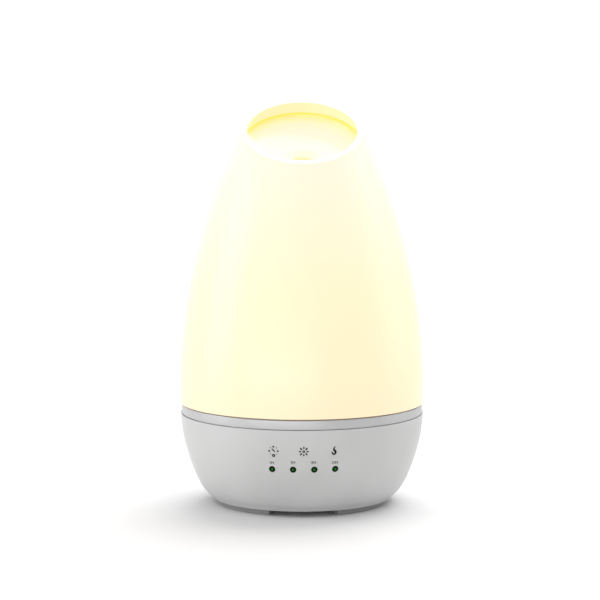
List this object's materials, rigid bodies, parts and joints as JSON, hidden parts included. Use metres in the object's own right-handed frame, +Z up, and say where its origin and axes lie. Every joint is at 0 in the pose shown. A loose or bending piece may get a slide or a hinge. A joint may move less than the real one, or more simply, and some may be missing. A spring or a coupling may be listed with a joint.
{
  "type": "cool mist humidifier",
  "caption": "Egg-shaped tabletop ultrasonic humidifier: a glowing frosted cover with a slanted mist dish lifts off a water tank set in a grey bowl-shaped base with a touch panel.",
  "frame": {"origin": "on the surface the feet stand on, on the round body's vertical axis", "axes": "+Z up, -Y towards the touch panel and the low side of the slanted opening, +X to the right seen from the front"},
  "size_m": [0.132, 0.132, 0.2177],
  "materials": {
    "frosted_cover": "frosted translucent white, lit warm from inside",
    "frosted_dish": "frosted translucent white, lit warm from inside",
    "white_moulding": "fine moulded white",
    "tank_plastic": "translucent natural white",
    "base_plastic": "satin light grey, almost white",
    "plate_plastic": "fine spark-eroded grey",
    "ring_plastic": "satin silver-grey",
    "foot_rubber": "soft grey rubber",
    "silicone": "translucent silicone",
    "transducer_metal": "plated disc",
    "black_plastic": "black moulding",
    "screw_steel": "zinc-plated",
    "white_board": "white solder mask",
    "warm_led": "phosphor yellow",
    "green_board": "green solder mask",
    "copper_winding": "enamelled copper wire",
    "heat_sink_metal": "extruded",
    "capacitor_sleeve": "printed sleeve",
    "header_plastic": "natural nylon",
    "indicator_lens": "black tinted lens",
    "green_led": "green epoxy",
    "touch_foam": "conductive foam"
  },
  "bodies": {
    "base": {"base_shell": "base_plastic", "bottom_plate": "plate_plastic", "foot_front_right": "foot_rubber", "foot_rear_right": "foot_rubber", "foot_rear_left": "foot_rubber", "foot_front_left": "foot_rubber", "case_screws": "screw_steel", "tank_seal": "silicone", "trim_ring": "ring_plastic", "water_tank": "tank_plastic", "air_duct": "tank_plastic", "air_duct_cap": "white_moulding", "transducer_disc": "transducer_metal", "transducer_seal": "silicone", "transducer_retainer": "black_plastic", "retainer_screws": "screw_steel", "light_ring_board": "white_board", "light_ring_leds": "warm_led", "light_board_screws": "screw_steel", "fan_housing": "black_plastic", "fan_stator": "copper_winding", "fan_screws": "screw_steel", "driver_board": "green_board", "heat_sink": "heat_sink_metal", "driver_coil": "copper_winding", "capacitors": "capacitor_sleeve", "controller_chip": "black_plastic", "board_headers": "header_plastic", "board_screws": "screw_steel", "touch_board": "green_board", "indicator_windows": "indicator_lens", "indicator_leds": "green_led", "touch_pads": "touch_foam", "touch_board_screws": "screw_steel", "dc_socket": "black_plastic"},
    "inner_cover": {"inner_cover": "white_moulding", "mist_tube": "white_moulding"},
    "cover": {"top_cover": "frosted_cover", "mist_outlet_dish": "frosted_dish"},
    "fan_rotor": {"fan_rotor": "black_plastic"}
  },
  "joints": [
    {"name": "inner_cover_lift", "type": "slide", "parent": "base", "child": "inner_cover", "axis": [0, 0, 1], "range_m": [0, 0.1]},
    {"name": "cover_lift", "type": "slide", "parent": "inner_cover", "child": "cover", "axis": [0, 0, 1], "range_m": [0, 0.16]},
    {"name": "fan_spin", "type": "hinge", "parent": "base", "child": "fan_rotor", "pos_m": [-0.01697, 0.01697, 0.013], "axis": [0, 0, 1], "continuous": true}
  ]
}
